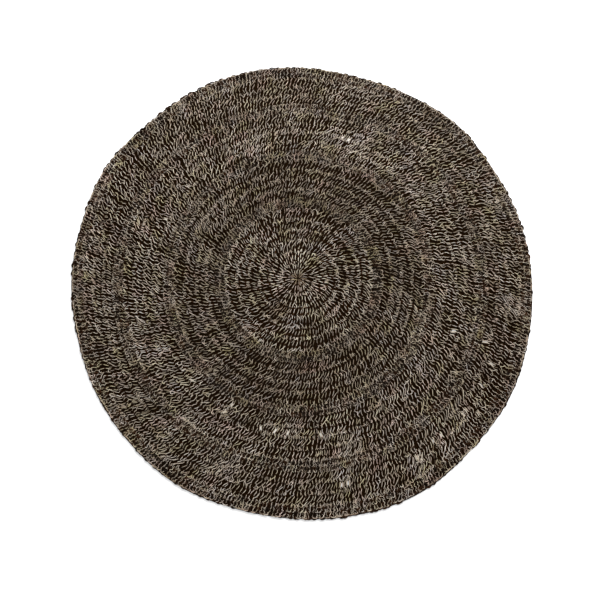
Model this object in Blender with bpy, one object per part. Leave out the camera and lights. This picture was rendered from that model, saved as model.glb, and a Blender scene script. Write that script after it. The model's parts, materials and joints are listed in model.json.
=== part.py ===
"""Round rug, crocheted in rounds from a raffia cord, lying flat on a floor.

Metres, +Z up. The underside lies at z = 0 and the middle of the rug's box is the origin.
The rug is one piece of crochet: a start ring, rounds of tall stitches with pairs of short
rounds between them, and a narrow edging. The heads of each round stand proud as a low ridge,
and the posts between them lie a little deeper.
"""

import math
from collections import namedtuple

import bmesh
import bpy
from mathutils import Matrix, Vector

# Sizes of the rug
MEAN_RADIUS = 0.750
START_RADIUS = 0.02275   # the ring of stitches that the crochet starts from
SEGMENTS = 72            # points around each ring of the mesh

# Heights above the floor
HEAD_TOP = 0.0100        # ridge that the heads of a round form
TALL_POST_TOP = 0.0076   # the long posts sink between two ridges
SHORT_POST_TOP = 0.0092  # short stitches pack tighter and sink less
CENTRE_TOP = 0.0085
EDGE_SHOULDER_TOP = 0.0086
EDGE_TOP = 0.0052        # where the rim turns down, half a cord high

# The rim
SHOULDER_INSET = 0.0045  # from the outline to the shoulder of the edging
UNDERSIDE_INSET = 0.0022 # from the outline to where the edging meets the floor

# The rounds, from the middle outwards: how many of a kind follow each other, and the depth of one
Band = namedtuple("Band", "stitch rounds depth")
BANDS = (
    Band("tall", 6, 0.03600),
    Band("short", 2, 0.01675),
    Band("tall", 4, 0.03350),
    Band("short", 2, 0.01675),
    Band("tall", 4, 0.03350),
    Band("short", 2, 0.01675),
    Band("tall", 3, 0.03350),
    Band("short", 2, 0.01675),
)
POST_SHARE = 0.45        # the deepest place of a round, as a share of its depth

# The uneven outline: distance from the start of the crochet, every 15 degrees from +X
OUTLINE_STEP = 15.0
OUTLINE_MM = (
    757, 753, 747, 751, 738, 730, 738, 742, 743, 741, 750, 742,
    741, 737, 742, 746, 754, 750, 755, 766, 775, 767, 770, 762,
)

# Open gaps between posts: place from the start of the crochet, size, and turn away from the radius
Gap = namedtuple("Gap", "radius_mm bearing_deg length_mm width_mm lean_deg")
GAPS = (
    Gap(457, 242.8, 12, 4.6, -11),
    Gap(482, 155.1, 12, 4.6, 14),
    Gap(483, 139.5, 11, 4.6, 15),
    Gap(487, 241.5, 12, 4.6, -30),
    Gap(492, 256.3, 14, 5.0, 12),
    Gap(492, 261.5, 17, 5.5, -27),
    Gap(494, 266.3, 13, 4.6, -18),
    Gap(504, 278.2, 15, 5.4, 18),
    Gap(504, 70.4, 14, 5.4, -20),
    Gap(505, 72.8, 13, 5.0, -10),
    Gap(527, 341.0, 15, 7.0, 13),
    Gap(610, 46.8, 13, 5.2, -15),
    Gap(631, 340.8, 19, 6.4, 12),
    Gap(661, 247.9, 14, 4.8, -22),
    Gap(664, 283.5, 14, 4.8, -14),
    Gap(665, 281.7, 13, 4.8, -19),
    Gap(667, 309.1, 12, 4.6, -17),
    Gap(670, 311.8, 13, 4.8, -11),
    Gap(672, 329.2, 15, 5.0, -22),
    Gap(672, 335.6, 17, 5.4, -13),
    Gap(675, 321.2, 12, 5.0, -15),
    Gap(676, 319.9, 12, 5.0, -15),
    Gap(677, 302.8, 12, 4.5, -9),
    Gap(712, 322.4, 12, 4.5, -24),
)
GAP_SIDES = 8            # points of the pointed oval that one gap is cut with
CUTTER_BELOW = -0.005
CUTTER_ABOVE = 0.020


def remove_old_objects():
    for old in list(bpy.data.objects):
        bpy.data.objects.remove(old, do_unlink=True)


def raffia_material():
    """Dark cord seen through grey-beige raffia, averaged to one colour."""
    material = bpy.data.materials.new("raffia")
    material.use_nodes = True
    shader = material.node_tree.nodes["Principled BSDF"]
    shader.inputs["Base Color"].default_value = (0.085, 0.066, 0.048, 1.0)
    shader.inputs["Roughness"].default_value = 0.85
    shader.inputs["Metallic"].default_value = 0.0
    return material


def outline_radius(angle):
    """Radius of the uneven outline at an angle, on a smooth closed curve through its rows."""
    place = math.degrees(angle) / OUTLINE_STEP
    row = math.floor(place)
    part = place - row
    before, here, after, beyond = (
        OUTLINE_MM[(row + shift) % len(OUTLINE_MM)] / 1000 for shift in (-1, 0, 1, 2)
    )
    slope_here = (after - before) / 2
    slope_after = (beyond - here) / 2
    rest = after - here
    return (
        here
        + slope_here * part
        + (3 * rest - 2 * slope_here - slope_after) * part**2
        + (slope_here + slope_after - 2 * rest) * part**3
    )


def ring_radius(nominal, angle):
    """A round's real radius: round at the start, as uneven as the outline at the edge."""
    share = nominal / MEAN_RADIUS
    unevenness = outline_radius(angle) / MEAN_RADIUS - 1
    return nominal * (1 + unevenness * share**2)


def segment_angles():
    return [math.tau * step / SEGMENTS for step in range(SEGMENTS)]


def start_of_crochet():
    """Where the crochet starts, when the middle of the outline's box is the origin."""
    points = [(outline_radius(a) * math.cos(a), outline_radius(a) * math.sin(a)) for a in segment_angles()]
    across, along = zip(*points)
    return Vector((-(max(across) + min(across)) / 2, -(max(along) + min(along)) / 2, 0.0))


def round_profile():
    """Nominal radius and height of each ring, from the start ring to the heads of the last round."""
    rows = [(START_RADIUS, HEAD_TOP)]
    radius = START_RADIUS
    for band in BANDS:
        post_top = TALL_POST_TOP if band.stitch == "tall" else SHORT_POST_TOP
        for _ in range(band.rounds):
            rows.append((radius + POST_SHARE * band.depth, post_top))
            radius += band.depth
            rows.append((radius, HEAD_TOP))
    return rows


def rim_profile():
    """The edging's shoulder, its outermost line and the line where it meets the floor."""
    return [
        (MEAN_RADIUS - SHOULDER_INSET, EDGE_SHOULDER_TOP),
        (MEAN_RADIUS, EDGE_TOP),
        (MEAN_RADIUS - UNDERSIDE_INSET, 0.0),
    ]


def add_ring(mesh, nominal, height, start):
    ring = []
    for angle in segment_angles():
        radius = ring_radius(nominal, angle)
        spot = Vector((radius * math.cos(angle), radius * math.sin(angle), height))
        ring.append(mesh.verts.new(start + spot))
    return ring


def join_rings(mesh, inner, outer):
    for step in range(SEGMENTS):
        following = (step + 1) % SEGMENTS
        mesh.faces.new((inner[step], outer[step], outer[following], inner[following]))


def rug_mesh(start):
    """The whole rug before its gaps are cut: a ridged top, a rounded rim and a flat underside."""
    mesh = bmesh.new()
    rings = [add_ring(mesh, nominal, height, start) for nominal, height in round_profile() + rim_profile()]
    centre = mesh.verts.new(start + Vector((0, 0, CENTRE_TOP)))
    for step in range(SEGMENTS):
        mesh.faces.new((centre, rings[0][step], rings[0][(step + 1) % SEGMENTS]))
    for inner, outer in zip(rings, rings[1:]):
        join_rings(mesh, inner, outer)
    mesh.faces.new(list(reversed(rings[-1])))
    data = bpy.data.meshes.new("rug")
    mesh.to_mesh(data)
    mesh.free()
    return data


def add_gap_cutter(mesh, gap, start):
    """A pointed oval prism that stands through the rug between two posts."""
    length = gap.length_mm / 1000
    width = gap.width_mm / 1000
    bearing = math.radians(gap.bearing_deg)
    turn = Matrix.Rotation(bearing + math.radians(gap.lean_deg), 4, "Z")
    spot = start + gap.radius_mm / 1000 * Vector((math.cos(bearing), math.sin(bearing), 0))
    floor = []
    for step in range(GAP_SIDES):
        angle = math.tau * step / GAP_SIDES
        across = math.sin(angle) * width / 2
        along = math.cos(angle) * length / 2
        floor.append(spot + turn @ Vector((along, across, CUTTER_BELOW)))
    rise = Vector((0, 0, CUTTER_ABOVE - CUTTER_BELOW))
    low = [mesh.verts.new(point) for point in floor]
    high = [mesh.verts.new(point + rise) for point in floor]
    mesh.faces.new(list(reversed(low)))
    mesh.faces.new(high)
    for step in range(GAP_SIDES):
        following = (step + 1) % GAP_SIDES
        mesh.faces.new((low[step], low[following], high[following], high[step]))


def gap_cutter(start):
    mesh = bmesh.new()
    for gap in GAPS:
        add_gap_cutter(mesh, gap, start)
    data = bpy.data.meshes.new("gap_cutter")
    mesh.to_mesh(data)
    mesh.free()
    cutter = bpy.data.objects.new("gap_cutter", data)
    bpy.context.collection.objects.link(cutter)
    cutter.hide_render = True
    cutter.display_type = "WIRE"
    return cutter


def make_rug():
    start = start_of_crochet()
    rug = bpy.data.objects.new("rug", rug_mesh(start))
    bpy.context.collection.objects.link(rug)
    rug.data.materials.append(raffia_material())
    cut = rug.modifiers.new("gaps", "BOOLEAN")
    cut.operation = "DIFFERENCE"
    cut.solver = "EXACT"
    cut.object = gap_cutter(start)
    return rug


def main():
    remove_old_objects()
    make_rug()


main()
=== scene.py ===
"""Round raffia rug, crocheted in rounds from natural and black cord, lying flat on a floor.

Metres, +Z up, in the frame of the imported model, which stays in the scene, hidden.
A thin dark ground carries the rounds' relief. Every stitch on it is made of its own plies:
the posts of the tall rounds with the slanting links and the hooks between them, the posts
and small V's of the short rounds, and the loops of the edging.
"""

import json
import random
from collections import namedtuple
from math import cos, degrees, floor, pi, radians, sin, sqrt, tan, tau

import bmesh
import bpy
from bpy.props import FloatProperty, FloatVectorProperty, IntProperty, PointerProperty
from mathutils import Matrix, Vector, noise

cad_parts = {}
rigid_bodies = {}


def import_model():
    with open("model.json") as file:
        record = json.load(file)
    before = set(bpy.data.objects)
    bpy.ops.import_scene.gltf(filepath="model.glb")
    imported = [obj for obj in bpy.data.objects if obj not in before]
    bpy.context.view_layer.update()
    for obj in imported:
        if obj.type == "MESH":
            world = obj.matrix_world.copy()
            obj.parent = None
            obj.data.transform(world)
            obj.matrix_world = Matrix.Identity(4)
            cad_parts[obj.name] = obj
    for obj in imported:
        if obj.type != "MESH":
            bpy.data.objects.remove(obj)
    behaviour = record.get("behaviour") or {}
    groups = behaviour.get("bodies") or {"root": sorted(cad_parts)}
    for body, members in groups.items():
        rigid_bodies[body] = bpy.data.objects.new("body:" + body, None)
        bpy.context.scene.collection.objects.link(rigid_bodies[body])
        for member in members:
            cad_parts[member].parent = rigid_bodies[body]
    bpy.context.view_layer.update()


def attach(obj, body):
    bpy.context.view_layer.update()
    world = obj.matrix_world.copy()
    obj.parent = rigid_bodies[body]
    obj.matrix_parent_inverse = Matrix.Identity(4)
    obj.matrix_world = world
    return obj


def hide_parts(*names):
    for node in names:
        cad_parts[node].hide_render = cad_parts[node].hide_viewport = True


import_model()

bl_info = {
    "name": "Crocheted raffia rug",
    "version": (1, 0, 0),
    "blender": (4, 5, 0),
    "location": "3D View > Sidebar > Rug",
    "description": "Makes a round rug, crocheted in rounds from natural and black raffia",
    "category": "Object",
}

# The rounds, from the middle outwards. Tone is how light the natural cord of a band looks, waist how
# much thinner its posts are halfway, hooks the share of its stitches with a loop across the head,
# inset how far the plies lie inside the round's own ring, and wiggle how crooked its posts are.
START_RADIUS = 0.02275
MEAN_RADIUS = 0.750
Band = namedtuple("Band", "stitch rounds depth tone waist hooks inset wiggle")
BANDS = (
    Band("tall", 6, 0.03600, 1.34, 0.48, 0.34, 0.0030, 0.40),
    Band("short", 2, 0.01675, 0.90, 0.00, 0.42, 0.0, 1.0),
    Band("tall", 4, 0.03350, 1.03, 0.38, 0.32, 0.0020, 0.55),
    Band("short", 2, 0.01675, 1.00, 0.00, 0.42, 0.0, 1.0),
    Band("tall", 4, 0.03350, 1.26, 0.20, 0.28, 0.0, 0.75),
    Band("short", 2, 0.01675, 1.06, 0.00, 0.42, 0.0, 1.0),
    Band("tall", 3, 0.03350, 1.20, 0.17, 0.25, 0.0, 0.85),
    Band("short", 2, 0.01675, 1.11, 0.00, 0.42, 0.0, 1.0),
)

# A round: its stitch, its band, a number that its draws start from, its two rings and its tone
Round = namedtuple("Round", "stitch band number inner outer tone")
START_RING = Round("tall", 1, 70, 0.0070, START_RADIUS, 0.42)
START_STITCHES = 9

# The edging: its loops end this far inside the outline
LIGHT_LOOP_INSET = 0.0062
DARK_LOOP_INSET = 0.0032

# The uneven outline: distance from the start of the crochet, every 15 degrees from +X
OUTLINE_STEP = 15.0
OUTLINE_MM = (
    757, 753, 747, 751, 738, 730, 738, 742, 743, 741, 750, 742,
    741, 737, 742, 746, 754, 750, 755, 766, 775, 767, 770, 762,
)
MODEL_SEGMENTS = 72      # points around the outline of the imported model

# Open gaps between posts: place from the start of the crochet, in mm and degrees from +X, length and
# width in mm, and turn away from the radius in degrees
Gap = namedtuple("Gap", "radius bearing length width lean")
GAPS = tuple(
    Gap(radius / 1000, radians(bearing), length / 1000, width / 1000, radians(lean))
    for radius, bearing, length, width, lean in (
        (457, 242.8, 12, 4.6, -11),
        (482, 155.1, 12, 4.6, 14),
        (483, 139.5, 11, 4.6, 15),
        (487, 241.5, 12, 4.6, -30),
        (492, 256.3, 14, 5.0, 12),
        (492, 261.5, 17, 5.5, -27),
        (494, 266.3, 13, 4.6, -18),
        (504, 278.2, 15, 5.4, 18),
        (504, 70.4, 14, 5.4, -20),
        (505, 72.8, 13, 5.0, -10),
        (527, 341.0, 15, 7.0, 13),
        (610, 46.8, 13, 5.2, -15),
        (631, 340.8, 19, 6.4, 12),
        (661, 247.9, 14, 4.8, -22),
        (664, 283.5, 14, 4.8, -14),
        (665, 281.7, 13, 4.8, -19),
        (667, 309.1, 12, 4.6, -17),
        (670, 311.8, 13, 4.8, -11),
        (672, 329.2, 15, 5.0, -22),
        (672, 335.6, 17, 5.4, -13),
        (675, 321.2, 12, 5.0, -15),
        (676, 319.9, 12, 5.0, -15),
        (677, 302.8, 12, 4.5, -9),
        (712, 322.4, 12, 4.5, -24),
    )
)
GAP_SIDES = 12
CUTTER_BELOW = -0.005
CUTTER_ABOVE = 0.020
GAP_REACH = 0.030        # how far to its sides posts stand aside for a gap
GAP_MARGIN = 0.004       # and how far past the ends of a post
GAP_SIDE = 0.0005        # from a gap's edge to the ply along it
SLACK = 0.003            # between a gap and the middle of a link or of a short post
WIDE_SLACK = 0.004       # and of a stitch of another kind

# Half the room that a stitch takes beside a gap
SLIM = 0.0017
BROAD = 0.0026
LOOP = 0.003

# How far a stitch leans, clockwise on its way out, in degrees: from which radius on
LEANS = ((0.0, 0.0), (0.075, 3.0), (0.110, 10.0), (0.200, 14.0), (0.290, 21.0), (0.740, 20.0))
CARRIED_LEAN = 0.6       # share of a round's lean by which its places turn from those before
PITCH_GROWTH = 0.8       # how the width of a stitch grows with the radius, as a power
EVENING_STEPS = 4        # how often the places of a round are evened out
EVENING = 0.25           # and by which share of the difference between their two gaps

# Unevenness that neighbouring stitches share: its strength, the size of its patches and its seed
TONE_PATCHES = ((0.06, 0.16, 1), (0.07, 0.05, 2))
WARMTH_PATCH = (0.95, 0.042, 3)
BLUSH_PATCH = (0.9, 0.042, 4)
SEED_STEP = 7.31         # how far apart the patches of two seeds lie in the noise

# Unevenness of the single stitch: its tone, length, thickness and height
TONE_SPREAD = 0.18
LEAST_TONE = 0.35
REACH_SPREAD = 0.04
SIZE_SPREAD = 0.12
LIFT_SPREAD = 0.0006

# Turn of the natural ply about the black one where a post starts: it then lies on top at the head
TWIST_START = 5.56

# Below this radius there is less and less room for links and hooks
ROOMY_RADIUS = 0.13

# The ground, and the rounds and stitches that are drawn on its back
GROUND_SEGMENTS = 180
GROUND_START = 0.006
GROUND_POST_TOP = 0.0030
GROUND_DIP = 0.0003
GROUND_HEAD_TOP = 0.0046
GROUND_RIM_INSET = 0.0030
GROUND_RIM_BULGE = 0.0012
GROUND_RIM_HEIGHT = 0.0022
UNDERSIDE_ROUND = 0.0340
UNDERSIDE_PITCH = 0.0105

# How the natural raffia's colour drifts, to olive, grey and pink: with which value of a stitch, from
# which size of it to which, and by which factors on red, green and blue
DRIFTS = (
    ("warmth", 0.1, 1.4, (0.99, 1.00, 0.75)),
    ("warmth", -0.1, -1.4, (0.925, 0.95, 1.065)),
    ("blush", 0.2, 1.4, (1.05, 0.90, 0.925)),
)

# The brown fibres of the black raffia, as factors on its colour
BROWN_FIBRES = (5.0, 3.6, 2.4)

# The camera, from the start of the crochet, the key light and the floor
CAMERA_PLACE = Vector((0.0418, -0.4880, 2.3587))
CAMERA_AIM = Vector((0.0059, -0.0700, 0.0))
CAMERA_LENS = 44.46
CAMERA_SENSOR = 36.0
CAMERA_RANGE = 100.0
KEY_PLACE = (1.0, 2.2, 2.1)
KEY_SIZE = 2.2
FLOOR_RADIUS = 30.0
FLOOR_SIDES = 64


def wire_operator(operation, turned=False):
    """A Python operator on wires, which adds a Math node to their tree."""
    def apply(wire, other):
        values = (other, wire) if turned else (wire, other)
        return wire.sketch.maths(operation, *values)
    return apply


class Wire:
    """An output of a node, which Python can calculate with."""

    def __init__(self, sketch, socket):
        self.sketch = sketch
        self.socket = socket

    def __getitem__(self, name):
        """Another output of the same node."""
        return Wire(self.sketch, self.socket.node.outputs[name])

    __add__ = wire_operator("ADD")
    __radd__ = wire_operator("ADD", turned=True)
    __sub__ = wire_operator("SUBTRACT")
    __rsub__ = wire_operator("SUBTRACT", turned=True)
    __mul__ = wire_operator("MULTIPLY")
    __rmul__ = wire_operator("MULTIPLY", turned=True)
    __truediv__ = wire_operator("DIVIDE")
    __pow__ = wire_operator("POWER")


class Sketch:
    """A shader or geometry tree that is being drawn."""

    def __init__(self, tree):
        self.tree = tree

    def add(self, kind, values=None, settings=None, output=0):
        """Adds a node, with its settings made first, and gives one of its outputs."""
        node = self.tree.nodes.new(kind)
        for name, value in (settings or {}).items():
            setattr(node, name, value)
        for name, value in (values or {}).items():
            self.plug(node.inputs[name], value)
        return Wire(self, node.outputs[output]) if node.outputs else node

    def plug(self, socket, value):
        if isinstance(value, Wire):
            self.tree.links.new(value.socket, socket)
        else:
            socket.default_value = value

    def maths(self, operation, *values):
        return self.add("ShaderNodeMath", dict(enumerate(values)), {"operation": operation})

    def sine(self, angle):
        return self.maths("SINE", angle)

    def cosine(self, angle):
        return self.maths("COSINE", angle)

    def absolute(self, value):
        return self.maths("ABSOLUTE", value)

    def vector(self, x, y, z):
        return self.add("ShaderNodeCombineXYZ", {"X": x, "Y": y, "Z": z})

    def fit(self, value, low, high, new_low=0.0, new_high=1.0):
        """Maps a value from one range to another, and holds it there."""
        names = ("Value", "From Min", "From Max", "To Min", "To Max")
        values = (value, low, high, new_low, new_high)
        return self.add("ShaderNodeMapRange", dict(zip(names, values)))

    def mix(self, share, first, second, blend="MIX"):
        """Mixes two colours."""
        settings = {"data_type": "RGBA", "blend_type": blend}
        return self.add("ShaderNodeMix", {0: share, 6: first, 7: second}, settings, output=2)


def put(name, data):
    """Adds an object to the scene."""
    thing = bpy.data.objects.new(name, data)
    bpy.context.collection.objects.link(thing)
    return thing


def finished_mesh(name, shape):
    """Turns an edit mesh into a named mesh."""
    data = bpy.data.meshes.new(name)
    shape.to_mesh(data)
    shape.free()
    return data


def evaluated_mesh(thing):
    """The mesh of an object with its live modifiers applied."""
    bpy.context.view_layer.update()
    graph = bpy.context.evaluated_depsgraph_get()
    made = thing.evaluated_get(graph)
    return bpy.data.meshes.new_from_object(made, preserve_all_data_layers=True, depsgraph=graph)


def outline_radius(angle):
    """Radius of the uneven outline at an angle, on a smooth closed curve through its rows."""
    place = degrees(angle) / OUTLINE_STEP
    row = floor(place)
    part = place - row
    before, here, after, beyond = (
        OUTLINE_MM[(row + shift) % len(OUTLINE_MM)] / 1000 for shift in (-1, 0, 1, 2)
    )
    slope_here = (after - before) / 2
    slope_after = (beyond - here) / 2
    rest = after - here
    return (
        here
        + slope_here * part
        + (3 * rest - 2 * slope_here - slope_after) * part**2
        + (slope_here + slope_after - 2 * rest) * part**3
    )


def ring_radius(nominal, angle):
    """A round's real radius: round at the start, as uneven as the outline at the edge."""
    share = nominal / MEAN_RADIUS
    unevenness = outline_radius(angle) / MEAN_RADIUS - 1
    return nominal * (1 + unevenness * share**2)


def start_of_crochet():
    """Where the crochet starts, when the middle of the outline's box is the origin."""
    angles = [tau * step / MODEL_SEGMENTS for step in range(MODEL_SEGMENTS)]
    across = [outline_radius(a) * cos(a) for a in angles]
    along = [outline_radius(a) * sin(a) for a in angles]
    return Vector((-(max(across) + min(across)) / 2, -(max(along) + min(along)) / 2, 0.0))


START = start_of_crochet()


def all_rounds():
    """Every round from the start ring outwards."""
    made = []
    radius = START_RADIUS
    for number, band in enumerate(BANDS, 1):
        for _ in range(band.rounds):
            made.append(Round(band.stitch, number, len(made), radius, radius + band.depth, band.tone))
            radius += band.depth
    return made


def bands_of(stitch):
    """Number, band and rounds of every band of one kind of stitch."""
    for number, band in enumerate(BANDS, 1):
        if band.stitch == stitch:
            yield number, band, [ring for ring in all_rounds() if ring.band == number]


def lean_at(radius):
    """The usual lean of a post at a radius, as a slope."""
    angle = LEANS[-1][1]
    for (low, first), (high, second) in zip(LEANS, LEANS[1:]):
        if low <= radius < high:
            angle = first + (second - first) * (radius - low) / (high - low)
            break
    return tan(radians(angle))


def pitch_at(size, ring):
    """The width of a round's stitches, which grows on the way out."""
    share = (ring.outer / MEAN_RADIUS) ** PITCH_GROWTH
    return size.inner_pitch + (size.outer_pitch - size.inner_pitch) * share


def even_places(count):
    """Places of stitches round a circle, as shares of a turn."""
    return [spot / count for spot in range(count)]


def gaps_after(places):
    """The gap from each place to the next one round the circle."""
    return [(after - here) % 1.0 for here, after in zip(places, places[1:] + places[:1])]


def midway(places, share):
    """Places between those given, at a share of each gap."""
    return [here + share * gap for here, gap in zip(places, gaps_after(places))]


def rows_of_places(size):
    """The places of each round's stitches: most stand on a stitch of the round before."""
    draw = random.Random(size.seed)
    places = even_places(START_STITCHES)
    rows = []
    for ring in all_rounds():
        middle = (ring.inner + ring.outer) / 2
        depth = ring.outer - ring.inner
        turn = CARRIED_LEAN * lean_at(middle) * depth / (tau * middle)
        places = sorted((place - turn) % 1.0 for place in places)
        count = round(tau * middle / pitch_at(size, ring))
        while len(places) < count:
            gaps = [gap * draw.uniform(0.7, 1.3) for gap in gaps_after(places)]
            widest = gaps.index(max(gaps))
            places.insert(widest + 1, midway(places, 0.5)[widest])
        places = sorted(place % 1.0 for place in places)
        for _ in range(EVENING_STEPS):
            ahead = gaps_after(places)
            behind = ahead[-1:] + ahead[:-1]
            places = [
                here + EVENING * (after - before)
                for here, after, before in zip(places, ahead, behind)
            ]
        rows.append(places)
    return rows


def wander(draw, count, reach):
    """A closed row of random numbers about 0 with spread 1 that neighbours share."""
    rough = [draw.gauss(0, 1) for _ in range(count)]
    width = sqrt(2 * reach + 1)
    steps = range(-reach, reach + 1)
    return [sum(rough[(spot + step) % count] for step in steps) / width for spot in range(count)]


def patch(x, y, strength, size, seed):
    """Slow unevenness over the rug, from about minus its strength to its strength."""
    return strength * 2 * noise.noise(Vector((x / size, y / size, seed * SEED_STEP)))


def turn_from(gap, bearing):
    """Angle from a gap to a bearing, within half a turn to either side."""
    return (bearing - gap.bearing + pi) % tau - pi


def gap_near(radius, bearing, slack):
    """True where a stitch would lie over an open gap."""
    for gap in GAPS:
        along = radius - gap.radius
        across = turn_from(gap, bearing) * radius
        lean = gap.lean
        own_along = along * cos(lean) + across * sin(lean)
        own_across = across * cos(lean) - along * sin(lean)
        inside = abs(own_along) < gap.length / 2 + slack
        if inside and abs(own_across) < gap.width / 2 + slack:
            return True
    return False


def make_way(inner, outer, bearing, lean, half_width):
    """Moves a post aside where it would cover an open gap, and turns it to the gap's lean."""
    middle = (inner + outer) / 2
    for gap in GAPS:
        place = gap.radius
        if not inner - GAP_MARGIN < place < outer + GAP_MARGIN:
            continue
        gap_slope = -tan(gap.lean)
        across = turn_from(gap, bearing) * middle + gap_slope * (middle - place)
        distance = abs(across)
        if distance > GAP_REACH:
            continue
        clear = gap.width / 2 + half_width
        moved = clear + distance * (1 - clear / GAP_REACH)
        side = 1.0 if across >= 0 else -1.0
        bearing += side * (moved - distance) / middle
        share = 1 - distance / GAP_REACH
        lean += (gap_slope - lean) * share
    return bearing, lean


STITCH_VALUES = (
    "inner", "depth", "bearing", "pitch", "lean", "phase",
    "size", "lift", "tone", "warmth", "blush", "seed",
)
Stitch = namedtuple("Stitch", STITCH_VALUES)


def stitches_of(ring, places, seed, half_width, spread=6.0, jitter=0.12, slip=0.0025, inset=0.0):
    """The plies of one round, one for each place, each with its size and colour."""
    draw = random.Random(seed * 1000 + ring.number)
    middle = (ring.inner + ring.outer) / 2
    count = len(places)
    tones, warmths, blushes, leans, waves = (wander(draw, count, reach) for reach in (1, 2, 2, 2, 8))
    made = []
    for spot, place in enumerate(places):
        own_lean = draw.gauss(0, 1)
        bearing = tau * (place + draw.gauss(0, jitter) / count)
        lean = lean_at(middle) + tan(radians(spread)) * (0.7 * leans[spot] + 0.7 * own_lean)
        inner = ring_radius(ring.inner, bearing)
        outer = ring_radius(ring.outer, bearing)
        bearing, lean = make_way(inner, outer, bearing, lean, half_width)
        spot_x = START.x + middle * cos(bearing)
        spot_y = START.y + middle * sin(bearing)
        cloud = sum(patch(spot_x, spot_y, *row) for row in TONE_PATCHES)
        tone = ring.tone * (1 + cloud + 0.08 * tones[spot] + TONE_SPREAD * draw.gauss(0, 1))
        shift = slip * (0.35 * draw.gauss(0, 1) + 0.9 * waves[spot])
        reach = 1 + REACH_SPREAD * draw.gauss(0, 1)
        made.append(Stitch(
            inner=inner - inset + shift - (reach - 1) * (outer - inner) / 2,
            depth=(outer - inner) * reach,
            bearing=bearing,
            pitch=tau * middle / count,
            lean=lean,
            phase=draw.uniform(-pi, pi),
            size=1 + SIZE_SPREAD * draw.gauss(0, 1),
            lift=LIFT_SPREAD * draw.gauss(0, 1),
            tone=max(LEAST_TONE, tone),
            warmth=0.3 * warmths[spot] + patch(spot_x, spot_y, *WARMTH_PATCH),
            blush=0.2 * blushes[spot] + patch(spot_x, spot_y, *BLUSH_PATCH),
            seed=draw.random(),
        ))
    return made


def clear_of_gaps(stitches, share, slack):
    """Those stitches that, at a share of their depth, don't lie over an open gap."""
    return [s for s in stitches if not gap_near(s.inner + share * s.depth, s.bearing, slack)]


def plies_beside_gaps(rounds, tone, seed):
    """Two plies along the sides of each open gap in these rounds."""
    draw = random.Random(seed)
    made = []
    for gap in GAPS:
        radius = gap.radius
        bearing = gap.bearing
        if not ring_radius(rounds[0].inner, bearing) < radius < ring_radius(rounds[-1].outer, bearing):
            continue
        for side in (-1, 1):
            length = gap.length * draw.uniform(1.1, 1.5)
            made.append(Stitch(
                inner=radius - length / 2,
                depth=length,
                bearing=bearing + side * (gap.width / 2 + GAP_SIDE) / radius,
                pitch=0.01,
                lean=-tan(gap.lean),
                phase=draw.uniform(-pi, pi),
                size=draw.uniform(0.9, 1.2),
                lift=draw.uniform(-LIFT_SPREAD, LIFT_SPREAD),
                tone=tone * draw.uniform(0.8, 1.1),
                warmth=draw.uniform(-0.5, 0.5),
                blush=draw.uniform(-0.5, 0.5),
                seed=draw.random(),
            ))
    return made


def guide_points(name, stitches):
    """A mesh with one point for each stitch, which carries the stitch's values."""
    mesh = bpy.data.meshes.new(name)
    spots = [START + Vector((s.inner * cos(s.bearing), s.inner * sin(s.bearing), 0)) for s in stitches]
    mesh.from_pydata(spots, [], [])
    for place, value in enumerate(STITCH_VALUES):
        layer = mesh.attributes.new(value, "FLOAT", "POINT")
        layer.data.foreach_set("value", [s[place] for s in stitches])
    return put(name, mesh)


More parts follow.
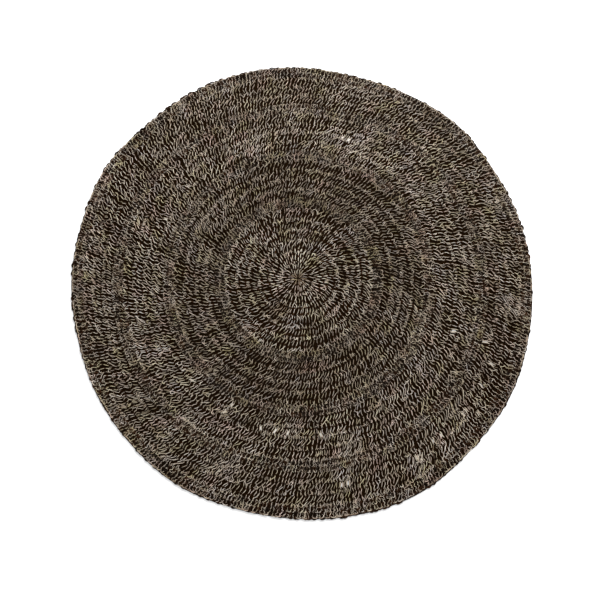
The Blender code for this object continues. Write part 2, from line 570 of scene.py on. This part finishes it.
class StitchTree(Sketch):
    """A geometry tree that lays one ply along the path of each stitch."""

    INPUTS = {
        "Radius": 0.0026, "Height": 0.0018, "Base": 0.0060, "Points": 10, "Sides": 3,
        "Twist Turns": 1.5, "Twist Width": 0.0010, "Twist Height": 0.0014, "Twist Start": 0.0,
        "Twist Spread": 0.55, "Wobble": 0.0012, "Waist": 0.0, "Link Place": 0.72, "Left Share": 0.3,
    }

    def __init__(self, name, path):
        super().__init__(bpy.data.node_groups.new(name, "GeometryNodeTree"))
        face = self.tree.interface
        face.new_socket("Geometry", in_out="INPUT", socket_type="NodeSocketGeometry")
        for label, default in self.INPUTS.items():
            kind = "NodeSocketInt" if isinstance(default, int) else "NodeSocketFloat"
            face.new_socket(label, in_out="INPUT", socket_type=kind).default_value = default
        face.new_socket("Material", in_out="INPUT", socket_type="NodeSocketMaterial")
        face.new_socket("Geometry", in_out="OUTPUT", socket_type="NodeSocketGeometry")
        self.given = self.add("NodeGroupInput", output="Geometry")
        self.share = self.add("GeometryNodeSplineParameter", output="Factor")
        self.sway = self.share * 2.0 - 1.0
        for value in STITCH_VALUES:
            setattr(self, value, self.stored(value))
        self.draw(path)

    def stored(self, name):
        """A value that is stored at each point."""
        return self.add("GeometryNodeInputNamedAttribute", {"Name": name}, {"data_type": "FLOAT"})

    def keep(self, geometry, name, value, kind="FLOAT"):
        """Stores a value under a name at each point."""
        values = {"Geometry": geometry, "Name": name, "Value": value}
        return self.add("GeometryNodeStoreNamedAttribute", values, {"data_type": kind, "domain": "POINT"})

    def crowding(self, along):
        """How much thinner a ply is near the start ring, where the stitches crowd."""
        return self.fit(self.inner + along, 0.012, 0.060, 0.50, 1.0)

    def turned(self, across, along, angle):
        """A place across and along a stitch, turned by an angle."""
        cosine = self.cosine(angle)
        sine = self.sine(angle)
        return across * cosine - along * sine, across * sine + along * cosine

    def base(self):
        """The height that the plies of a stitch lie at."""
        return self.given["Base"] + self.lift

    def draw(self, path):
        """Sets a line of points on each stitch, lays it along the path and gives it its width."""
        given = self.given
        points = self.add("GeometryNodeMeshToPoints", {"Mesh": given})
        line = self.add("GeometryNodeCurvePrimitiveLine", {"End": (0.0, 0.0, 1.0)})
        line = self.add("GeometryNodeResampleCurve", {"Curve": line, "Count": given["Points"]})
        lines = self.add("GeometryNodeInstanceOnPoints", {"Points": points, "Instance": line})
        lines = self.add("GeometryNodeRealizeInstances", {"Geometry": lines})
        across, along, height, thickness = path(self)
        radius = self.inner + along
        angle = self.bearing + across / radius
        x = START.x + radius * self.cosine(angle)
        y = START.y + radius * self.sine(angle)
        place = self.vector(x, y, height)
        lines = self.add("GeometryNodeSetPosition", {"Geometry": lines, "Position": place})
        lines = self.keep(lines, "thickness", thickness)
        run = self.add("GeometryNodeSplineParameter", output="Length")
        lines = self.keep(lines, "run", run + 3.0 * self.seed)
        lines = self.add("GeometryNodeSetCurveNormal", {"Curve": lines}, {"mode": "Z_UP"})
        values = {"Resolution": given["Sides"], "Radius": 1.0}
        section = self.add("GeometryNodeCurvePrimitiveCircle", values)
        section = self.keep(section, "section", self.add("GeometryNodeInputPosition"), "FLOAT_VECTOR")
        section = self.add("GeometryNodeTransform", {
            "Geometry": section,
            "Rotation": (0.0, 0.0, -pi / 2),
            "Scale": self.vector(given["Height"], given["Radius"], 1.0),
        })
        plies = self.add("GeometryNodeCurveToMesh", {
            "Curve": lines,
            "Profile Curve": section,
            "Scale": self.stored("thickness"),
            "Fill Caps": True,
        })
        plies = self.add("GeometryNodeSetShadeSmooth", {"Geometry": plies})
        plies = self.add("GeometryNodeRealizeInstances", {"Geometry": plies})
        plies = self.add("GeometryNodeSetMaterial", {"Geometry": plies, "Material": given["Material"]})
        self.add("NodeGroupOutput", {"Geometry": plies})


def rounded_ends(tree, blunt=4.0, least=0.45):
    """Thickness along a ply: full in the middle, drawn in at its two ends."""
    return (1.0 - (1.0 - least) * tree.absolute(tree.sway) ** blunt) * tree.size


def wobble(tree):
    """Small sideways waves of a ply, different in every stitch."""
    seed = tree.seed * tau
    waves = tree.sine(tree.share * 10.0 + seed) + 0.7 * tree.sine(tree.share * 17.0 + 5.0 * seed)
    return tree.given["Wobble"] * waves


def post_path(tree):
    """A ply of a post: it swings to both sides, hooks back at its ends and twists about its twin."""
    given = tree.given
    inner = tree.inner
    depth = tree.depth
    along = depth * (tree.share * 1.26 - 0.13)
    loose = tree.fit(inner, 0.020, 0.100, 2.0, 1.0) * (1.0 + 0.35 * tree.sine(tree.bearing))
    turn = given["Twist Spread"] * loose * tree.phase + given["Twist Start"]
    turn = turn - given["Twist Turns"] * tau * tree.share
    swing = tree.lean * depth * 0.36 * tree.sine(tree.sway * (0.78 * pi))
    across = wobble(tree) - swing + given["Twist Width"] * tree.sine(turn)
    dip = 0.0012 * tree.sway ** 4.0
    height = tree.base() - dip + given["Twist Height"] * tree.cosine(turn)
    waist = tree.fit(inner, 0.060, 0.085, 0.35, 1.0) * given["Waist"]
    waist = 1.0 - waist * (1.0 - tree.absolute(tree.sway) ** 3.0)
    return across, along, height, rounded_ends(tree) * waist * tree.crowding(along)


def link_path(tree):
    """A ply that leaves one post for the next, aslant across the space between them."""
    given = tree.given
    sway = tree.sway
    depth = tree.depth
    left = given["Left Share"]
    side = tree.fit(tree.seed, left, left + 0.001, 1.0, -1.0)
    along = depth * (given["Link Place"] + 0.06 * tree.phase + 0.26 * sway)
    slant = 0.56 * tree.pitch * side * tree.sine(sway * (0.5 * pi))
    across = slant - tree.lean * (along - 0.5 * depth) + 0.5 * wobble(tree)
    height = tree.base() - 0.0010 * sway ** 2.0
    return across, along, height, rounded_ends(tree) * tree.crowding(along)


def hook_path(tree):
    """A hook of cord that ties a stitch to its neighbours, turned a little at random."""
    bend = (tree.share * 1.15 + 0.10) * pi
    wide = tree.pitch * -0.46 * tree.cosine(bend)
    deep = 0.0036 * tree.sine(bend) - 0.0012
    across, along = tree.turned(wide, deep, 0.30 * tree.phase - tree.lean)
    wave = 0.0012 * tree.sine(tree.share * 4.0 + tree.seed * tau)
    return across, tree.depth + along, tree.base() + wave, rounded_ends(tree, 4.0, 0.4)


def vee_path(tree):
    """A short stitch: a small V whose point lies inwards, turned a little at random."""
    sway = tree.sway
    wide = tree.pitch * 0.36 * tree.sine(sway * (0.62 * pi))
    deep = 0.0165 * tree.absolute(sway) ** 1.2 - 0.0080
    across, along = tree.turned(wide, deep, 0.20 * tree.phase - tree.lean)
    across = across + wobble(tree)
    along = 0.5 * tree.depth + along
    wave = 0.0014 * tree.sine(sway * 3.4 + tree.seed * tau)
    return across, along, tree.base() + wave, rounded_ends(tree, 4.0, 0.5)


def edging_path(tree):
    """A loop of the edging: out over the last round, round its tip and back in."""
    sway = tree.sway
    across = tree.pitch * 0.52 * tree.sine(sway * (0.60 * pi)) + tree.phase * 0.002
    along = tree.depth * (1.0 - 1.5 * sway ** 2.0)
    height = tree.given["Base"] + 0.7 * tree.lift + 0.0010 * sway
    return across, along, height, rounded_ends(tree, 6.0, 0.6)


def work_stitches(name, stitches, path, material, **values):
    """Lays a ply along the path of each stitch, and turns them into one plain mesh.

    The values are the stitch tree's inputs, such as twist_start for Twist Start.
    """
    guide = guide_points(name, stitches)
    tree = StitchTree(name + "_tree", path).tree
    modifier = guide.modifiers.new("plies", "NODES")
    modifier.node_group = tree
    given = {label.replace("_", " ").title(): value for label, value in values.items()}
    given["Material"] = material
    for item in tree.interface.items_tree:
        if item.in_out == "INPUT" and item.name in given:
            modifier[item.identifier] = given[item.name]
    points = guide.data
    mesh = evaluated_mesh(guide)
    guide.modifiers.remove(modifier)
    guide.data = mesh
    mesh.name = name
    bpy.data.meshes.remove(points)
    bpy.data.node_groups.remove(tree)
    return guide


def finish_piece(name, parts):
    """Joins plies of one material into a piece that moves with the rug, and marks it as stitches."""
    piece = parts[0]
    if len(parts) > 1:
        chosen = {"selected_editable_objects": parts, "selected_objects": parts}
        with bpy.context.temp_override(active_object=piece, object=piece, **chosen):
            bpy.ops.object.join()
    piece.name = name
    piece.data.name = name
    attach(piece, "root")
    piece["rug_stitches"] = True


def tint(colour, *factors):
    """A colour times one factor, or one for each of its three numbers, as a shader takes it."""
    if len(factors) == 1:
        factors = factors * 3
    return tuple(channel * factor for channel, factor in zip(colour, factors)) + (1.0,)


class MaterialSketch(Sketch):
    """A new material with one shader."""

    def __init__(self, name, roughness, shine):
        self.material = bpy.data.materials.new(name)
        self.material.use_nodes = True
        super().__init__(self.material.node_tree)
        self.inputs = self.tree.nodes["Principled BSDF"].inputs
        self.inputs["Roughness"].default_value = roughness
        self.inputs["Specular IOR Level"].default_value = shine

    def attribute(self, name, output="Fac"):
        return self.add("ShaderNodeAttribute", None, {"attribute_name": name}, output)

    def place(self):
        return self.add("ShaderNodeTexCoord", output="Object")

    def noise(self, place, scale, detail=3.0):
        return self.add("ShaderNodeTexNoise", {"Vector": place, "Scale": scale, "Detail": detail})

    def fibres(self):
        """Long fibres along a ply, from 0 to 1."""
        parts = self.add("ShaderNodeSeparateXYZ", {0: self.attribute("section", "Vector")}, output="X")
        place = self.vector(parts * 2.2, parts["Y"] * 2.2, self.attribute("run") * 90.0)
        values = {"Vector": place, "Scale": 1.6, "Detail": 3.0, "Roughness": 0.6}
        return self.add("ShaderNodeTexNoise", values)

    def coat(self, colour, height, strength, distance, roughness=None):
        """Plugs in the colour, a bump and, where it varies, the roughness. Gives the material."""
        bump = self.add("ShaderNodeBump", {"Strength": strength, "Distance": distance, "Height": height})
        self.plug(self.inputs["Base Color"], colour)
        self.plug(self.inputs["Normal"], bump)
        if roughness is not None:
            self.plug(self.inputs["Roughness"], roughness)
        return self.material


def natural_raffia():
    """Matt grey-beige raffia whose colour drifts along the cord, with long fibres."""
    sketch = MaterialSketch("natural_raffia", 0.8, 0.2)
    natural = bpy.context.scene.rug_cord.natural_colour
    fibres = sketch.fibres()
    colour = tint(natural, 1.0)
    for drift, start, end, factors in DRIFTS:
        share = sketch.fit(sketch.attribute(drift), start, end)
        colour = sketch.mix(share, colour, tint(natural, *factors))
    shade = sketch.attribute("tone") * sketch.fit(fibres, 0.3, 0.7, 0.72, 1.18)
    shade = sketch.vector(shade, shade ** 1.15, shade ** 1.34)
    colour = sketch.mix(1.0, colour, shade, "MULTIPLY")
    return sketch.coat(colour, fibres, 0.6, 0.0006, sketch.fit(fibres, 0.3, 0.7, 0.9, 0.68))


def black_raffia():
    """Raffia dyed near black, with brown fibres and a dull shine."""
    sketch = MaterialSketch("black_raffia", 0.7, 0.08)
    black = bpy.context.scene.rug_cord.black_colour
    fibres = sketch.fibres()
    share = sketch.fit(fibres * sketch.attribute("tone"), 0.45, 0.85)
    colour = sketch.mix(share, tint(black, 1.0), tint(black, *BROWN_FIBRES))
    return sketch.coat(colour, fibres, 0.6, 0.0006, sketch.fit(fibres, 0.3, 0.7, 0.82, 0.58))


def ground_raffia():
    """The lower plies of the crochet: near black, lumpy, with brown fibres."""
    sketch = MaterialSketch("ground_raffia", 0.9, 0.0)
    black = bpy.context.scene.rug_cord.black_colour
    place = sketch.place()
    lumps = sketch.add("ShaderNodeTexVoronoi", {"Vector": place, "Scale": 170.0})
    hairs = sketch.noise(place, 420.0)
    colour = sketch.mix(sketch.fit(hairs, 0.45, 0.7), tint(black, 0.6), tint(black, 2.0))
    return sketch.coat(colour, 0.3 * hairs - lumps, 0.8, 0.002, sketch.fit(hairs, 0.3, 0.7, 0.95, 0.8))


def underside_raffia():
    """The back of the crochet: rounds of wavy natural strokes on black."""
    sketch = MaterialSketch("underside_raffia", 0.85, 0.1)
    cord = bpy.context.scene.rug_cord
    place = sketch.place()
    parts = sketch.add("ShaderNodeSeparateXYZ", {0: place}, output="X")
    x = parts - START.x
    y = parts["Y"] - START.y
    hairs = sketch.noise(place, 420.0)
    waves = sketch.noise(place, 75.0, 1.0)
    rounds = (x * x + y * y) ** 0.5 / UNDERSIDE_ROUND + 0.30 * waves
    number = sketch.maths("FLOOR", rounds)
    strokes = sketch.maths("ROUND", (number + 0.5) * (tau * UNDERSIDE_ROUND / UNDERSIDE_PITCH))
    turn = sketch.maths("ARCTAN2", y, x) / tau
    spot = sketch.maths("FRACT", turn * strokes + 2.2 * waves + 0.37 * number + 8.0)
    across = sketch.absolute(spot - 0.5)
    along = sketch.absolute(sketch.maths("FRACT", rounds) - 0.5)
    light = across + 0.45 * (hairs - 0.5) - 0.18 * sketch.fit(along, 0.37, 0.50)
    share = sketch.fit(light, 0.11, 0.21, 1.0, 0.0)
    dull = tint(cord.natural_colour, 0.55)
    pale = tint(cord.natural_colour, 0.95)
    natural = sketch.mix(sketch.fit(hairs, 0.35, 0.65), dull, pale)
    colour = sketch.mix(share, tint(cord.black_colour, 1.0), natural)
    return sketch.coat(colour, share + 0.3 * hairs, 0.7, 0.002)


def pale_floor():
    """A pale floor with a hardly visible grain."""
    sketch = MaterialSketch("pale_floor", 0.9, 0.2)
    pale = bpy.context.scene.rug_stage.floor_colour
    grain = sketch.noise(sketch.place(), 3.0, 2.0)
    sketch.plug(sketch.inputs["Base Color"], sketch.mix(grain, tint(pale, 1.0), tint(pale, 0.99)))
    return sketch.material


def material_of(make):
    """The material that a function of the same name makes, made only once."""
    return bpy.data.materials.get(make.__name__) or make()


def ring_spot(nominal, angle, height):
    """A point of a round's ring."""
    radius = ring_radius(nominal, angle)
    return START + Vector((radius * cos(angle), radius * sin(angle), height))


def ground_rings():
    """Nominal radius and height of each ring of the ground's top."""
    rows = [(GROUND_START, GROUND_POST_TOP), (START_RADIUS, GROUND_HEAD_TOP)]
    for ring in all_rounds():
        depth = ring.outer - ring.inner
        for share, dip in ((0.22, 0.0), (0.50, GROUND_DIP), (0.78, 0.0)):
            rows.append((ring.inner + share * depth, GROUND_POST_TOP - dip))
        rows.append((ring.outer, GROUND_HEAD_TOP))
    rows.append((MEAN_RADIUS - GROUND_RIM_INSET + GROUND_RIM_BULGE, GROUND_RIM_HEIGHT))
    rows.append((MEAN_RADIUS - GROUND_RIM_INSET, 0.0))
    return rows


def ground_mesh():
    """The closed slab under the stitches, before its gaps are cut."""
    shape = bmesh.new()
    angles = [tau * step / GROUND_SEGMENTS for step in range(GROUND_SEGMENTS)]
    rings = [
        [shape.verts.new(ring_spot(nominal, angle, height)) for angle in angles]
        for nominal, height in ground_rings()
    ]
    top = shape.verts.new(START + Vector((0, 0, GROUND_POST_TOP)))
    low = shape.verts.new(START)
    for step in range(GROUND_SEGMENTS):
        following = (step + 1) % GROUND_SEGMENTS
        shape.faces.new((top, rings[0][step], rings[0][following]))
        shape.faces.new((low, rings[-1][following], rings[-1][step])).material_index = 1
        for inner, outer in zip(rings, rings[1:]):
            shape.faces.new((inner[step], outer[step], outer[following], inner[following]))
    for face in shape.faces:
        face.smooth = True
    return finished_mesh("ground", shape)


def gap_cutter():
    """Pointed oval prisms that stand through the ground in the open gaps."""
    shape = bmesh.new()
    for gap in GAPS:
        bearing = gap.bearing
        turn = Matrix.Rotation(bearing + gap.lean, 4, "Z")
        spot = START + gap.radius * Vector((cos(bearing), sin(bearing), 0))
        low = []
        high = []
        for step in range(GAP_SIDES):
            angle = tau * step / GAP_SIDES
            across = sin(angle) * gap.width / 2
            along = cos(angle) * gap.length / 2
            low.append(shape.verts.new(spot + turn @ Vector((along, across, CUTTER_BELOW))))
            high.append(shape.verts.new(spot + turn @ Vector((along, across, CUTTER_ABOVE))))
        shape.faces.new(list(reversed(low)))
        shape.faces.new(high)
        for step in range(GAP_SIDES):
            following = (step + 1) % GAP_SIDES
            shape.faces.new((low[step], low[following], high[following], high[step]))
    return put("gap_cutter", finished_mesh("gap_cutter", shape))


def length_setting(name, description, default):
    """A length in the sidebar."""
    return FloatProperty(name=name, description=description, default=default, unit="LENGTH")


def colour_setting(name, description, default):
    """A colour in the sidebar."""
    kind = {"subtype": "COLOR", "size": 3, "min": 0.0, "max": 1.0}
    return FloatVectorProperty(name=name, description=description, default=default, **kind)


class RugCord(bpy.types.PropertyGroup):
    """The cord's size and colours."""

    natural_colour: colour_setting("Natural", "Colour of the natural raffia", (0.490, 0.413, 0.324))
    black_colour: colour_setting("Black", "Colour of the dyed raffia", (0.0080, 0.0040, 0.0015))
    ply_radius: length_setting("Ply radius", "Half the width of one ply", 0.00102)


class RugStitches(bpy.types.PropertyGroup):
    """How close the stitches stand."""

    inner_pitch: length_setting("Inner pitch", "Width of a stitch at the start ring", 0.0090)
    outer_pitch: length_setting("Outer pitch", "Width of a stitch in the last round", 0.0107)
    edging_pitch: length_setting("Edging pitch", "Distance between the edging's loops", 0.0140)
    seed: IntProperty(name="Seed", description="Picks another set of uneven stitches", default=7)


class RugStage(bpy.types.PropertyGroup):
    """The floor and the light."""

    floor_colour: colour_setting("Floor", "Colour of the floor", (0.90, 0.90, 0.90))
    key_power: FloatProperty(
        name="Key light", description="Power of the key light", default=142.0, unit="POWER",
    )
    sky: FloatProperty(name="Sky", description="Strength of the light from all round", default=0.97)


class RUG_OT_ground(bpy.types.Operator):
    """Lay the dark ground of the crochet in place of the solid"""

    bl_idname = "rug.ground"
    bl_label = "Ground"

    def execute(self, context):
        ground = put("ground", ground_mesh())
        ground.data.materials.append(material_of(ground_raffia))
        ground.data.materials.append(material_of(underside_raffia))
        cutter = gap_cutter()
        cut = ground.modifiers.new("gaps", "BOOLEAN")
        cut.operation = "DIFFERENCE"
        cut.solver = "EXACT"
        cut.object = cutter
        mesh = evaluated_mesh(ground)
        ground.modifiers.clear()
        ground.data = mesh
        bpy.data.objects.remove(cutter)
        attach(ground, "root")
        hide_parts("rug")
        return {"FINISHED"}


class RUG_OT_tall_rounds(bpy.types.Operator):
    """Work the tall rounds: posts, the links and hooks between them and the black cord"""

    bl_idname = "rug.tall_rounds"
    bl_label = "Tall rounds"

    def execute(self, context):
        radius = context.scene.rug_cord.ply_radius
        size = context.scene.rug_stitches
        natural = material_of(natural_raffia)
        black = material_of(black_raffia)
        rows = rows_of_places(size)
        for number, band, rounds in bands_of("tall"):
            firsts = []
            links = []
            hooks = []
            for ring in rounds:
                places = rows[ring.number]
                room = min(1.0, ring.outer / ROOMY_RADIUS)
                firsts += stitches_of(ring, places, size.seed, SLIM, inset=band.inset)
                between = midway(places, 0.5)
                between = stitches_of(ring, between, size.seed + 1, SLIM, inset=band.inset)
                between = clear_of_gaps(between, 0.8, SLACK)
                links += [s._replace(tone=0.9 * s.tone) for s in between if s.seed < 0.55 * room]
                ends = midway(places, 0.2)
                ends = stitches_of(ring, ends, size.seed + 3, BROAD, jitter=0.20, inset=band.inset)
                ends = [s for s in ends if s.seed < band.hooks * room]
                hooks += clear_of_gaps(ends, 1.0, WIDE_SLACK)
            twist = {
                "twist_turns": 2.2,
                "twist_width": 0.0010 * band.wiggle,
                "twist_spread": 0.66 - 0.34 * band.waist,
                "wobble": 0.0012 * band.wiggle,
            }
            parts = [
                work_stitches(
                    "firsts", firsts, post_path, natural, radius=radius * (1 + 0.45 * band.waist),
                    height=0.0014, base=0.0067, points=12,
                    twist_start=TWIST_START, twist_height=0.0009, waist=band.waist, **twist,
                ),
                work_stitches(
                    "links", links, link_path, natural, radius=radius * 0.90,
                    height=0.0012, base=0.0072, points=8,
                    left_share=0.2, link_place=0.68 + 0.40 * band.waist,
                ),
                work_stitches(
                    "hooks", hooks, hook_path, natural, radius=radius * 0.90,
                    height=0.0014, base=0.0078, points=6,
                ),
            ]
            sides = plies_beside_gaps(rounds, band.tone, size.seed + number)
            if sides:
                parts.append(work_stitches(
                    "sides", sides, post_path, natural, radius=0.0012, height=0.0012,
                    base=0.0052, points=8, sides=4, twist_turns=0.0, wobble=0.0003,
                ))
            if number == START_RING.band:
                first = stitches_of(START_RING, even_places(START_STITCHES), size.seed, BROAD)
                parts.append(work_stitches(
                    "start", first, post_path, natural, radius=0.0024, height=0.0014,
                    base=0.0062, points=8, sides=4, twist_turns=0.4, wobble=0.0003,
                ))
            finish_piece(f"rounds_{number}_natural", parts)
            seconds = work_stitches(
                "seconds", firsts, post_path, black, radius=0.0021, height=0.0016,
                base=0.0055, points=11, twist_start=TWIST_START + pi, twist_height=0.0013, **twist,
            )
            finish_piece(f"rounds_{number}_black", [seconds])
        return {"FINISHED"}


class RUG_OT_short_rounds(bpy.types.Operator):
    """Work the short rounds that lie in pairs between the tall ones"""

    bl_idname = "rug.short_rounds"
    bl_label = "Short rounds"

    def execute(self, context):
        radius = context.scene.rug_cord.ply_radius
        size = context.scene.rug_stitches
        natural = material_of(natural_raffia)
        black = material_of(black_raffia)
        rows = rows_of_places(size)
        for number, band, rounds in bands_of("short"):
            posts = []
            light = []
            ends = []
            dark = []
            for ring in rounds:
                places = rows[ring.number]
                between = midway(places, 0.5)
                posts += stitches_of(ring, places, size.seed, BROAD, spread=16.0, slip=0.0015)
                others = stitches_of(ring, between, size.seed + 7, BROAD, spread=16.0)
                light += [s._replace(tone=0.85 * s.tone) for s in others if s.seed < 0.25]
                ties = stitches_of(ring, between, size.seed + 3, BROAD, slip=0.0010)
                ends += [s for s in ties if s.seed < band.hooks]
                dark += stitches_of(ring, between, size.seed + 5, BROAD, spread=16.0)
            posts = clear_of_gaps(posts, 0.5, SLACK)
            light = clear_of_gaps(light, 0.5, WIDE_SLACK)
            ends = clear_of_gaps(ends, 1.0, WIDE_SLACK)
            dark = clear_of_gaps(dark, 0.5, WIDE_SLACK)
            parts = [
                work_stitches(
                    "firsts", posts, post_path, natural, radius=radius, height=0.0013,
                    base=0.0076, points=9, twist_turns=1.0, twist_height=0.0008, wobble=0.0014,
                ),
                work_stitches(
                    "vees", light, vee_path, natural, radius=radius * 0.88, height=0.0013,
                    base=0.0070, points=8,
                ),
                work_stitches(
                    "hooks", ends, hook_path, natural, radius=radius * 0.85, height=0.0013,
                    base=0.0076, points=6,
                ),
            ]
            finish_piece(f"rounds_{number}_natural", parts)
            cords = work_stitches(
                "cords", dark, vee_path, black, radius=0.0024, height=0.0018, base=0.0070, points=6,
            )
            finish_piece(f"rounds_{number}_black", [cords])
        return {"FINISHED"}


class RUG_OT_edging(bpy.types.Operator):
    """Work the loops of the edging"""

    bl_idname = "rug.edging"
    bl_label = "Edging"

    def execute(self, context):
        size = context.scene.rug_stitches
        last = all_rounds()[-1].outer
        inside = Round("edging", 0, 90, last, MEAN_RADIUS - LIGHT_LOOP_INSET, 0.84)
        outside = Round("edging", 0, 91, last, MEAN_RADIUS - DARK_LOOP_INSET, 1.0)
        places = even_places(round(tau * MEAN_RADIUS / size.edging_pitch))
        light = stitches_of(inside, midway(places, 0.3), size.seed, LOOP, spread=10.0, slip=0.0015)
        light = [s for s in light if s.seed < 0.75]
        dark = stitches_of(outside, places, size.seed + 1, LOOP, spread=14.0, jitter=0.25, slip=0.0014)
        dark = [s._replace(inner=s.inner + 0.0044 * (s.seed - 0.5)) for s in dark]
        loops = work_stitches(
            "light", light, edging_path, material_of(natural_raffia),
            radius=0.0014, height=0.0013, base=0.0070, points=9,
        )
        finish_piece("edging_natural", [loops])
        loops = work_stitches(
            "dark", dark, edging_path, material_of(black_raffia),
            radius=0.0026, height=0.0019, base=0.0048, points=9, sides=5,
        )
        finish_piece("edging_black", [loops])
        return {"FINISHED"}


class RUG_OT_stage(bpy.types.Operator):
    """Set the camera, the soft light and the pale floor"""

    bl_idname = "rug.stage"
    bl_label = "Stage"

    def execute(self, context):
        stage = context.scene.rug_stage
        scene = context.scene
        scene.view_settings.view_transform = "Standard"
        camera = put("camera", bpy.data.cameras.new("camera"))
        camera.data.lens = CAMERA_LENS
        camera.data.sensor_width = CAMERA_SENSOR
        camera.data.clip_end = CAMERA_RANGE
        forward = (CAMERA_AIM - CAMERA_PLACE).normalized()
        right = forward.cross(Vector((0, 1, 0))).normalized()
        up = right.cross(forward)
        turn = Matrix((right, up, -forward)).transposed()
        camera.rotation_mode = "QUATERNION"
        camera.rotation_quaternion = turn.to_quaternion()
        camera.location = START + CAMERA_PLACE
        scene.camera = camera

        key = bpy.data.lights.new("key", "AREA")
        key.shape = "DISK"
        key.size = KEY_SIZE
        key.energy = stage.key_power
        lamp = put("key", key)
        lamp.location = KEY_PLACE
        lamp.rotation_mode = "QUATERNION"
        lamp.rotation_quaternion = (-lamp.location).to_track_quat("-Z", "Y")

        world = bpy.data.worlds.new("soft_sky")
        world.use_nodes = True
        sky = world.node_tree.nodes["Background"]
        sky.inputs["Color"].default_value = (1.0, 1.0, 1.0, 1.0)
        sky.inputs["Strength"].default_value = stage.sky
        scene.world = world

        shape = bmesh.new()
        bmesh.ops.create_circle(shape, cap_ends=True, radius=FLOOR_RADIUS, segments=FLOOR_SIDES)
        plane = put("floor", finished_mesh("floor", shape))
        plane.data.materials.append(material_of(pale_floor))
        return {"FINISHED"}


class RUG_PT_panel(bpy.types.Panel):
    """Sizes, colours and steps of the rug"""

    bl_label = "Raffia rug"
    bl_space_type = "VIEW_3D"
    bl_region_type = "UI"
    bl_category = "Rug"

    def draw(self, context):
        for name, kind in GROUPS.items():
            for value in kind.__annotations__:
                self.layout.prop(getattr(context.scene, name), value)
        for operator in OPERATORS:
            self.layout.operator(operator.bl_idname)


GROUPS = {"rug_cord": RugCord, "rug_stitches": RugStitches, "rug_stage": RugStage}
OPERATORS = (RUG_OT_stage, RUG_OT_ground, RUG_OT_tall_rounds, RUG_OT_short_rounds, RUG_OT_edging)


def register():
    for name, group in GROUPS.items():
        bpy.utils.register_class(group)
        setattr(bpy.types.Scene, name, PointerProperty(type=group))
    for operator in OPERATORS:
        bpy.utils.register_class(operator)
    bpy.utils.register_class(RUG_PT_panel)


def unregister():
    bpy.utils.unregister_class(RUG_PT_panel)
    for operator in reversed(OPERATORS):
        bpy.utils.unregister_class(operator)
    for name, group in GROUPS.items():
        delattr(bpy.types.Scene, name)
        bpy.utils.unregister_class(group)


def main():
    register()
    bpy.ops.rug.stage()
    bpy.ops.rug.ground()
    bpy.ops.rug.tall_rounds()
    bpy.ops.rug.short_rounds()
    bpy.ops.rug.edging()
    stitches = [thing for thing in bpy.context.scene.objects if "rug_stitches" in thing]
    bpy.data.objects["ground"]


if __name__ == "__main__":
    main()
